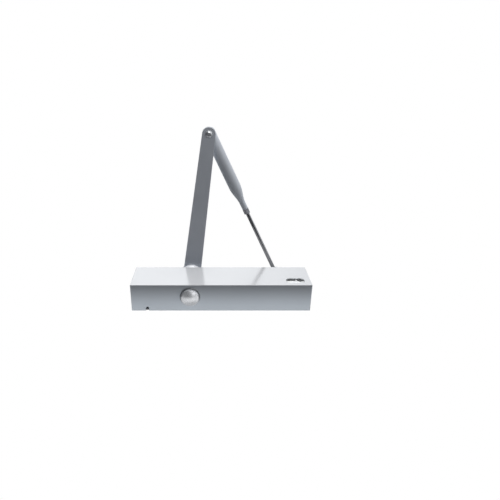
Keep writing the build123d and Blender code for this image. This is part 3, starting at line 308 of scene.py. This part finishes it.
COVER_PAINT = satin_paint(
    "cover_paint",
    (0.85, 0.855, 0.865),
    (0.79, 0.795, 0.81),
    # edge colour: painted dark reflection on the cover's rounded edges
    (0.52, 0.53, 0.55),
    metallic=0.28,
    roughness=0.16,
    # painted dark reflection on every rounded edge, at least 0.55 of the way to the edge colour
    edge_scuff_and_shade_band=(0.0012, 0.55),
)
ARM_PAINT = satin_paint(
    "arm_paint",
    (0.68, 0.71, 0.76),
    (0.60, 0.63, 0.68),
    (0.86, 0.86, 0.86),
    metallic=0.05,
    roughness=0.42,
    # painted shade: the arm's paint darkens towards the shaft, standing in for shadow near the body
    painted_shade=(SHAFT, 0.02, 0.11, (0.20, 0.22, 0.26)),
)
HUB_METAL = turned_metal("hub_metal", (0.94, 0.95, 0.97), (0.84, 0.85, 0.88), 0.45, SHAFT, metallic=0.2)
CAP_METAL = turned_metal("cap_metal", (0.94, 0.95, 0.97), (0.82, 0.84, 0.87), 0.27, SHAFT, metallic=0.55)
NUT_STEEL = zinc_plate("nut_steel", (0.33, 0.33, 0.35), (0.20, 0.20, 0.22))
RIVET_METAL = turned_metal(
    "rivet_metal", (0.90, 0.91, 0.92), (0.70, 0.71, 0.73), 0.28, KNUCKLE, metallic=0.7
)
ZINC = zinc_plate("zinc_plate", (0.66, 0.68, 0.70), (0.42, 0.44, 0.47))
ROD_STEEL = brushed_metal(
    "rod_steel", (0.40, 0.40, 0.41), (0.24, 0.24, 0.25), 0.3, along=(0.06, 1, 1), turn=-FOREARM_TURN
)
GROUND_STEEL = turned_metal("ground_steel", (0.60, 0.60, 0.61), (0.45, 0.45, 0.46), 0.25, SHAFT)
CAST = cast_metal("cast_aluminium")
SPRING_STEEL = brushed_metal("spring_steel", (0.22, 0.22, 0.24), (0.12, 0.12, 0.13), 0.35)
BRONZE = turned_metal("bronze", (0.76, 0.58, 0.32), (0.60, 0.44, 0.22), 0.3, KNUCKLE)
RUBBER = moulded("seal_rubber", (0.045, 0.045, 0.047), (0.02, 0.02, 0.02), 0.6)
DARK_PLASTIC = moulded("dark_plastic", (0.06, 0.06, 0.065), (0.03, 0.03, 0.033), 0.5)
POINTER_PLASTIC = moulded("pointer_plastic", (0.86, 0.87, 0.87), (0.78, 0.79, 0.80), 0.3)
LABEL_PRINT = moulded("label_print", (0.97, 0.97, 0.97), (0.90, 0.91, 0.92), 0.35)
INK = moulded("ink", (0.05, 0.05, 0.055), (0.03, 0.03, 0.035), 0.45)
LENS = clear_lens("clear_window")

SLOT_MATERIALS = {
    "cover_paint": COVER_PAINT,
    "arm_paint": ARM_PAINT,
    "cap_metal": CAP_METAL,
    "zinc_steel": ZINC,
    "rod_steel": ROD_STEEL,
    "cast_aluminium": CAST,
    "hard_steel": GROUND_STEEL,
    "spring_steel": SPRING_STEEL,
    "brass": BRONZE,
    "seal_rubber": RUBBER,
    "dark_plastic": DARK_PLASTIC,
    "pointer_plastic": POINTER_PLASTIC,
    "clear_window": LENS,
}


def dress_cad_nodes():
    """Give every CAD node the finish of its material slot, and four of them one of their own."""
    slots = {entry["node"]: entry["material_slot"] for entry in frame["record"]["subparts"]}
    for name, node in NODES.items():
        for index in range(len(node.data.materials)):
            node.data.materials[index] = SLOT_MATERIALS[slots[name]]
    NODES["knuckle_rivet"].data.materials[0] = RIVET_METAL
    NODES["main_arm_hub"].data.materials[0] = HUB_METAL
    NODES["indicator_scale"].data.materials[0] = LABEL_PRINT
    NODES["lock_nut"].data.materials[0] = NUT_STEEL


dress_cad_nodes()


# ---------------------------------------------------------------- mesh helpers

def add_object(name, data):
    made = bpy.data.objects.new(name, data)
    bpy.context.scene.collection.objects.link(made)
    return made


def plain_mesh(name, work):
    mesh = bpy.data.meshes.new(name)
    work.to_mesh(mesh)
    work.free()
    return mesh


def closed_mesh(name, work):
    """Mesh of a closed shape, with all its faces turned outwards."""
    bmesh.ops.recalc_face_normals(work, faces=work.faces)
    return plain_mesh(name, work)


def around(work, near, far):
    """Faces between two loops of vertices."""
    for index in range(len(near)):
        after = (index + 1) % len(near)
        work.faces.new((near[index], near[after], far[after], far[index]))


def skin(work, rings):
    """Faces over a row of rings, with both ends closed."""
    for near, far in zip(rings, rings[1:]):
        around(work, near, far)
    work.faces.new(list(reversed(rings[0])))
    work.faces.new(rings[-1])


def new_piece(name, mesh, material, body=None, smooth=True):
    piece = add_object(name, mesh)
    mesh.materials.append(material)
    if smooth:
        for face in mesh.polygons:
            face.use_smooth = True
    if body is not None:
        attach(piece, body)
    return piece


# ---------------------------------------------------------------- forearm rod with a cut thread

THREAD_PITCH = 1.0 * MM
THREAD_DEPTH = 0.32 * MM
THREAD_PAST_NUT = 26 * MM
THREAD_INSIDE = 30 * MM
THREAD_FLANK = 1.6
THREAD_CREST = 0.3
THREAD_STATION = THREAD_PITCH / 6
THREAD_RUN_IN = 2 * THREAD_PITCH
THREAD_RUN_OUT = 0.4 * MM
THREAD_LAST_CUT = 0.05
THREAD_ROUNDING = 1e-6
ROD_SEGMENTS = 36
ROD_MEASURED = 5 * MM
ROD_CHAMFER = (0.6 * MM, 0.5 * MM)
SHANK_INTO_EYE = 1.2 * MM
# distance before the shank's end, and how much thicker the shank is there
SHANK_SWELL = ((9 * MM, 1.0), (6 * MM, 1.04), (4 * MM, 1.10), (2 * MM, 1.18), (0, 1.22))
EYE_SEGMENTS = 72
EYE_ROUNDING = 0.9 * MM
EYE_CHAMFER = 0.3 * MM
CORNER_STEPS = 4


def along_forearm(node):
    """Nearest and farthest distance of a CAD node's vertices from the knuckle, along the forearm."""
    reach = [(vert.co - KNUCKLE).dot(FOREARM_AXIS) for vert in NODES[node].data.vertices]
    return min(reach), max(reach)


def radius_round_forearm(node, start, end):
    """Largest distance from the forearm's axis of a CAD node's vertices between two stations."""
    largest = 0
    for vert in NODES[node].data.vertices:
        offset = vert.co - KNUCKLE
        reach = offset.dot(FOREARM_AXIS)
        if start <= reach <= end:
            largest = max(largest, (offset - FOREARM_AXIS * reach).length)
    return largest


def forearm_matrix():
    """Local X along the forearm from the knuckle, local Z up."""
    side = Vector((0, 0, 1)).cross(FOREARM_AXIS)
    turn = Matrix((FOREARM_AXIS, side, Vector((0, 0, 1)))).transposed().to_4x4()
    return Matrix.Translation(KNUCKLE) @ turn


def thread_cut(past_start, to_end, turned):
    """Depth of the helical groove at a distance past its start, fading out towards its end."""
    phase = (past_start / THREAD_PITCH - turned) % 1.0
    groove = max(0.0, min(1.0, THREAD_FLANK * (1 - abs(2 * phase - 1)) - THREAD_CREST))
    fade = min(1.0, to_end / THREAD_RUN_IN + THREAD_LAST_CUT)
    return THREAD_DEPTH * groove * max(fade, 0)


def add_threaded_rod(start, eye_radius):
    """Steel rod with a real thread where it screws into the tube, swelling towards its forged eye."""
    radius = radius_round_forearm("forearm_rod", start, start + ROD_MEASURED)
    nut_end = along_forearm("lock_nut")[1]
    shank_end = (FOOT - KNUCKLE).dot(FOREARM_AXIS) - eye_radius + SHANK_INTO_EYE
    thread_start, thread_end = nut_end - THREAD_INSIDE, nut_end + THREAD_PAST_NUT
    chamfer_length, chamfer_depth = ROD_CHAMFER
    steps = int((thread_end - thread_start) / THREAD_STATION)
    stations = [(start, 1.0), (start + chamfer_length, 1.0), (thread_start - THREAD_RUN_IN, 1.0)]
    stations += [(thread_start + THREAD_STATION * step, 1.0) for step in range(steps + 1)]
    stations += [(thread_end + THREAD_RUN_OUT, 1.0)]
    stations += [(shank_end - before, swell) for before, swell in SHANK_SWELL]
    work = bmesh.new()
    rings = []
    for station, swell in stations:
        ring = []
        for step in range(ROD_SEGMENTS):
            turned = step / ROD_SEGMENTS
            angle = 2 * math.pi * step / ROD_SEGMENTS
            reach = radius * swell
            if station == start:
                reach -= chamfer_depth
            if thread_start <= station <= thread_end + THREAD_ROUNDING:
                reach -= thread_cut(station - thread_start, thread_end - station, turned)
            ring.append(work.verts.new((station, reach * math.cos(angle), reach * math.sin(angle))))
        rings.append(ring)
    skin(work, rings)
    bmesh.ops.transform(work, matrix=forearm_matrix(), verts=work.verts)
    mesh = closed_mesh("threaded_rod", work)
    rod = new_piece("threaded_rod", mesh, ROD_STEEL, "rod")
    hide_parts("forearm_rod")


def rounded_corner(centre_r, centre_z, radius, start, end):
    """Points round a corner, from start to end in degrees, as (radius, height)."""
    points = []
    for step in range(CORNER_STEPS + 1):
        angle = math.radians(start + (end - start) * step / CORNER_STEPS)
        points.append((centre_r + radius * math.cos(angle), centre_z + radius * math.sin(angle)))
    return points


def turned_ring(name, profile, centre, segments):
    """Closed (radius, height) loop turned about the vertical axis through centre."""
    work = bmesh.new()
    rings = []
    for step in range(segments):
        angle = 2 * math.pi * step / segments
        across, along = math.cos(angle), math.sin(angle)
        rings.append([work.verts.new((centre.x + r * across, centre.y + r * along, z)) for r, z in profile])
    for near, far in zip(rings, rings[1:] + rings[:1]):
        around(work, near, far)
    return closed_mesh(name, work)


def add_rod_eye(eye_radius):
    """Flat eye with rounded rims round the bush of the foot's pin."""
    bush = NODES["foot_bush"].data.vertices
    hole = max(Vector((vert.co.x - FOOT.x, vert.co.y - FOOT.y)).length for vert in bush)
    low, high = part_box("foot_bush")
    bottom, top = low[2], high[2]
    rim = eye_radius - EYE_ROUNDING
    profile = [(hole, bottom + EYE_CHAMFER), (hole + EYE_CHAMFER, bottom)]
    profile += rounded_corner(rim, bottom + EYE_ROUNDING, EYE_ROUNDING, -90, 0)
    profile += rounded_corner(rim, top - EYE_ROUNDING, EYE_ROUNDING, 0, 90)
    profile += [(hole + EYE_CHAMFER, top), (hole, top - EYE_CHAMFER)]
    mesh = turned_ring("rod_eye", profile, FOOT, EYE_SEGMENTS)
    new_piece("rod_eye", mesh, ROD_STEEL, "rod")


def add_forearm_rod():
    """The two pieces that take the place of the CAD rod."""
    start, end = along_forearm("forearm_rod")
    eye_radius = end - (FOOT - KNUCKLE).dot(FOREARM_AXIS)
    add_threaded_rod(start, eye_radius)
    add_rod_eye(eye_radius)


add_forearm_rod()


# ---------------------------------------------------------------- closing spring

SPRING_TURNS = 10
SPRING_SPLIT = 8
SPRING_WIRE = 2.25 * MM
SPRING_GROUND = 0.7
SPRING_CLOSED = 2.06 * SPRING_WIRE
SPRING_END_GAP = 0.05 * MM
SPRING_PER_TURN = 40
SPRING_ROUND = 14
SPRING_LOW, SPRING_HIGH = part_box("closing_spring")


def spring_station(turn):
    """How far along X the wire's middle lies after so many turns; the end turns are closed."""
    length = SPRING_HIGH[0] - SPRING_LOW[0] - 2 * SPRING_GROUND * SPRING_WIRE
    open_pitch = (length - 2 * SPRING_CLOSED) / (SPRING_TURNS - 2)
    first = SPRING_LOW[0] + SPRING_GROUND * SPRING_WIRE
    if turn < 1:
        return first + SPRING_CLOSED * turn
    if turn < SPRING_TURNS - 1:
        return first + SPRING_CLOSED + open_pitch * (turn - 1)
    last_open = first + SPRING_CLOSED + open_pitch * (SPRING_TURNS - 2)
    return last_open + SPRING_CLOSED * (turn - SPRING_TURNS + 1)


def spring_part(name, first_turn, last_turn):
    """Round wire wound from one turn to another, with its outer ends ground flat."""
    mid_y = (SPRING_LOW[1] + SPRING_HIGH[1]) / 2
    mid_z = (SPRING_LOW[2] + SPRING_HIGH[2]) / 2
    coil_radius = (SPRING_HIGH[2] - SPRING_LOW[2]) / 2 - SPRING_WIRE
    flat_low, flat_high = SPRING_LOW[0] + SPRING_END_GAP, SPRING_HIGH[0] - SPRING_END_GAP
    work = bmesh.new()
    rings = []
    for step in range((last_turn - first_turn) * SPRING_PER_TURN + 1):
        turn = first_turn + step / SPRING_PER_TURN
        across, along = math.cos(2 * math.pi * turn), math.sin(2 * math.pi * turn)
        ring = []
        for part in range(SPRING_ROUND):
            phase = 2 * math.pi * part / SPRING_ROUND
            reach = coil_radius + SPRING_WIRE * math.cos(phase)
            x = spring_station(turn) + SPRING_WIRE * math.sin(phase)
            x = max(flat_low, min(flat_high, x))
            ring.append(work.verts.new((x, mid_y + reach * across, mid_z + reach * along)))
        rings.append(ring)
    skin(work, rings)
    piece = new_piece(name, closed_mesh(name, work), SPRING_STEEL)
    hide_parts("closing_spring")
    return piece


def add_closing_spring():
    """The spring as two pieces: eight turns at the piston's end and two at the adjustable seat's end."""
    piston_end = spring_part("spring_piston_end", 0, SPRING_SPLIT)
    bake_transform(piston_end)
    seat_end = spring_part("spring_seat_end", SPRING_SPLIT, SPRING_TURNS)
    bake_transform(seat_end)


add_closing_spring()


# ---------------------------------------------------------------- print on the indicator scale

PRINT_OUT = 0.06 * MM
PRINT_IN = 0.02 * MM
WEDGE_SPAN = (2.0 * MM, 10.5 * MM)
WEDGE_TIP = (0.5 * MM, 3.2 * MM)
WEDGE_TOP = 0.2 * MM
TICK_PITCH = 2.5 * MM
TICK_HALF_WIDTH = 0.15 * MM
TICK_TOP = 7.2 * MM
TICK_LONG = 2.2 * MM
TICK_SHORT = 1.3 * MM
NUMBER_HEIGHT = 3.4 * MM
NUMBER_THICK = 0.03 * MM
NUMBER_BASE = 12.4 * MM


def flat_print(name, outlines):
    """Thin printed shapes on the front of the scale, from outlines of (x, z) points."""
    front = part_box("indicator_scale")[0][1]
    work = bmesh.new()
    for outline in outlines:
        near = [work.verts.new((x, front - PRINT_OUT, z)) for x, z in outline]
        far = [work.verts.new((x, front + PRINT_IN, z)) for x, z in outline]
        skin(work, [near, far])
    return new_piece(name, closed_mesh(name, work), INK, "case", smooth=False)


def add_number(digit, place):
    name = "scale_number_" + digit
    letters = bpy.data.curves.new(name, "FONT")
    letters.body = digit
    letters.size = NUMBER_HEIGHT
    letters.align_x = "CENTER"
    letters.extrude = NUMBER_THICK
    letters.resolution_u = 4
    number = add_object(name, letters)
    number.location = place
    number.rotation_euler = (math.pi / 2, 0, 0)
    letters.materials.append(INK)
    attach(number, "case")


def add_scale_print():
    """A strength wedge, a row of ticks and the numbers of the closing force under the window."""
    low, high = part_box("indicator_scale")
    pointer_low, pointer_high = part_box("indicator_pointer")
    middle = (pointer_low[0] + pointer_high[0]) / 2
    top = high[2]
    left, right = (middle + edge for edge in WEDGE_SPAN)
    tip_shift, tip_drop = WEDGE_TIP
    tip = ((left + right) / 2 + tip_shift, top - tip_drop)
    flat_print("scale_wedge", [[(left, top - WEDGE_TOP), tip, (right, top - WEDGE_TOP)]])
    ticks = []
    for step in range(-3, 4):
        left, right = (middle + step * TICK_PITCH + side * TICK_HALF_WIDTH for side in (-1, 1))
        upper = top - TICK_TOP
        lower = upper - (TICK_LONG if step % 3 == 0 else TICK_SHORT)
        ticks.append([(left, upper), (right, upper), (right, lower), (left, lower)])
    flat_print("scale_ticks", ticks)
    for digit, step in (("2", -3), ("3", 0), ("4", 3)):
        add_number(digit, (middle + step * TICK_PITCH, low[1] - NUMBER_THICK, top - NUMBER_BASE))


add_scale_print()


# ---------------------------------------------------------------- camera, floor and light

CAMERA_PLACE = Vector((-0.0154, -0.3872, -0.6003))
CAMERA_PITCH = math.radians(22.63)
CAMERA_LENS = 30.18
CAMERA_SHIFT = (0.0772, -0.05)
FLOOR_HEIGHT = -0.72
FLOOR_SIZE = 6.0
ROOM_COLOUR = (0.04, 0.042, 0.048)
SOFTBOX_COLOUR = (0.96, 0.98, 1.0)
# direction, cosine where the patch starts, cosine where it is full, strength
WORLD_LOBES = (
    ((0, -0.62, 0.78), 0.15, 0.75, 1.05),
    ((0.94, -0.28, -0.18), 0.72, 0.95, 0.9),
    ((0, 0.95, 0.30), 0.3, 0.9, 0.5),
)
CARD_SPAN = (0.004, 0.090)
CARD_FULL = 0.062
CARD_WIDTH = 1.6
CARD_HEIGHT = -0.13
CARD_POWER = 1.12
CARD_COLOUR = (0.84, 0.92, 1.0)
FOREARM_MIDDLE = Vector((0.05, -0.15, 0.05))
FILL_DIRECTION = Vector((0.1, -0.75, -0.66)).normalized()
FILL_DISTANCE = 1.2
CAP_MIDDLE = (-0.0495, -0.0255, -0.034)


def add_camera():
    """The closer is looked at from in front and below, as it lies on its back in a catalogue."""
    camera = add_object("camera", bpy.data.cameras.new("camera"))
    forward = Vector((0, math.sin(CAMERA_PITCH), math.cos(CAMERA_PITCH)))
    up = Vector((0, -math.cos(CAMERA_PITCH), math.sin(CAMERA_PITCH)))
    right = forward.cross(up)
    turn = Matrix((right, up, -forward)).transposed().to_4x4()
    camera.matrix_world = Matrix.Translation(CAMERA_PLACE) @ turn
    camera.data.lens = CAMERA_LENS
    camera.data.shift_x, camera.data.shift_y = CAMERA_SHIFT
    camera.data.clip_start = 0.01
    bpy.context.scene.camera = camera


def light_only(lamp, *nodes):
    """Let a lamp or card light nothing but the named CAD nodes."""
    chosen = bpy.data.collections.new(lamp.name + "_receivers")
    for name in nodes:
        chosen.objects.link(NODES[name])
    lamp.light_linking.receiver_collection = chosen


def add_area_light(name, place, target, size, power):
    """Rectangular softbox at place, facing target."""
    light = bpy.data.lights.new(name, "AREA")
    light.shape = "RECTANGLE"
    light.size, light.size_y = size
    light.energy = power
    holder = add_object(name, light)
    holder.location = place
    holder.rotation_mode = "QUATERNION"
    holder.rotation_quaternion = (Vector(target) - Vector(place)).to_track_quat("-Z", "Y")
    holder.visible_camera = False
    return holder


def add_world():
    """White surround for the camera; for light and reflections, a bright sweep above and behind,
    a softbox on the right, and a dim room elsewhere."""
    world = bpy.data.worlds.new("studio")
    bpy.context.scene.world = world
    world.use_nodes = True
    world.node_tree.nodes.clear()
    sky = Nodes(world.node_tree)
    direction = sky.node("ShaderNodeTexCoord").outputs["Generated"]
    strength = None
    for towards, start, full, power in WORLD_LOBES:
        dot = sky.node("ShaderNodeVectorMath", operation="DOT_PRODUCT")
        dot.inputs[1].default_value = Vector(towards).normalized()
        sky.link(direction, dot.inputs[0])
        patch = sky.remap(dot.outputs["Value"], start, full, 0, power, interpolation_type="SMOOTHSTEP")
        strength = patch if strength is None else sky.plus(strength, patch)
    studio = sky.node("ShaderNodeBackground", Color=(*SOFTBOX_COLOUR, 1))
    sky.link(strength, studio.inputs["Strength"])
    room = sky.node("ShaderNodeBackground", Color=(*ROOM_COLOUR, 1))
    both = sky.node("ShaderNodeAddShader")
    sky.link(studio.outputs[0], both.inputs[0])
    sky.link(room.outputs[0], both.inputs[1])
    backdrop = sky.node("ShaderNodeBackground", Color=(1, 1, 1, 1))
    path = sky.node("ShaderNodeLightPath")
    chosen = sky.node("ShaderNodeMixShader")
    sky.link(path.outputs["Is Camera Ray"], chosen.inputs["Fac"])
    sky.link(both.outputs[0], chosen.inputs[1])
    sky.link(backdrop.outputs[0], chosen.inputs[2])
    output = sky.node("ShaderNodeOutputWorld")
    sky.link(chosen.outputs[0], output.inputs["Surface"])


def add_bounce_card():
    """Graded card just under the closer's underside, which gives that face its soft falling tone."""
    low, high = CARD_SPAN
    half = 0.5
    work = bmesh.new()
    bmesh.ops.create_grid(work, x_segments=12, y_segments=6, size=half)
    for vert in work.verts:
        across = vert.co.y + half
        vert.co = Vector((vert.co.x * CARD_WIDTH, low + (high - low) * across, CARD_HEIGHT))
    card = add_object("bounce_card", plain_mesh("bounce_card", work))
    material = bpy.data.materials.new("bounce_card")
    material.use_nodes = True
    material.node_tree.nodes.clear()
    paper = Nodes(material.node_tree)
    parts = paper.node("ShaderNodeSeparateXYZ")
    paper.link(paper.node("ShaderNodeTexCoord").outputs["Object"], parts.inputs[0])
    fall = paper.remap(parts.outputs["Y"], low, CARD_FULL, 0.0, CARD_POWER, interpolation_type="SMOOTHSTEP")
    glow = paper.node("ShaderNodeEmission", Color=(*CARD_COLOUR, 1))
    paper.link(fall, glow.inputs["Strength"])
    output = paper.node("ShaderNodeOutputMaterial")
    paper.link(glow.outputs[0], output.inputs["Surface"])
    card.data.materials.append(material)
    card.visible_camera = False
    card.visible_shadow = False
    light_only(card, "cover")


def add_floor():
    """Pale floor under the whole set-up; it takes no part in the reflections."""
    work = bmesh.new()
    bmesh.ops.create_grid(work, x_segments=8, y_segments=8, size=FLOOR_SIZE)
    bmesh.ops.translate(work, vec=(0, 0, FLOOR_HEIGHT), verts=work.verts)
    floor = add_object("floor", plain_mesh("floor", work))
    floor.data.materials.append(moulded("floor_paper", (0.93, 0.93, 0.93), (0.90, 0.90, 0.90), 0.8))
    floor.visible_glossy = False
    floor.visible_diffuse = False


def add_fill_lights():
    """Small soft lights, each on its own parts, that lift them to their tones under studio light."""
    arm = add_area_light(
        "arm_fill", FOREARM_MIDDLE + FILL_DISTANCE * FILL_DIRECTION, FOREARM_MIDDLE, (0.9, 0.5), 7.8
    )
    light_only(arm, "main_arm_hub", "main_arm", "forearm_tube", "lock_nut", "knuckle_rivet", "arm_washer")
    cap = add_area_light("cap_fill", (-0.030, -0.042, -0.110), CAP_MIDDLE, (0.06, 0.03), 0.013)
    light_only(cap, "spindle_cap")
    base = add_area_light("cap_base", (-0.040, 0.030, -0.110), CAP_MIDDLE, (0.16, 0.05), 0.026)
    light_only(base, "spindle_cap")
    hub = add_area_light("hub_fill", (-0.05, -0.30, -0.10), (-0.0495, -0.043, 0.037), (0.1, 0.1), 0.45)
    light_only(hub, "main_arm_hub")
    face = add_area_light("face_fill", (-0.06, -0.30, 0.0), (-0.06, -0.047, 0.0), (0.2, 0.06), 0.275)
    face.visible_glossy = False
    light_only(face, "cover")
    window = add_area_light(
        "window_fill", (0.119, -0.20, -0.10), (0.119, -0.043, -0.015), (0.08, 0.05), 0.26
    )
    light_only(window, "indicator_pointer", "indicator_scale")


bpy.context.scene.view_settings.view_transform = "Standard"
add_camera()
add_world()
add_bounce_card()
add_floor()
add_fill_lights()
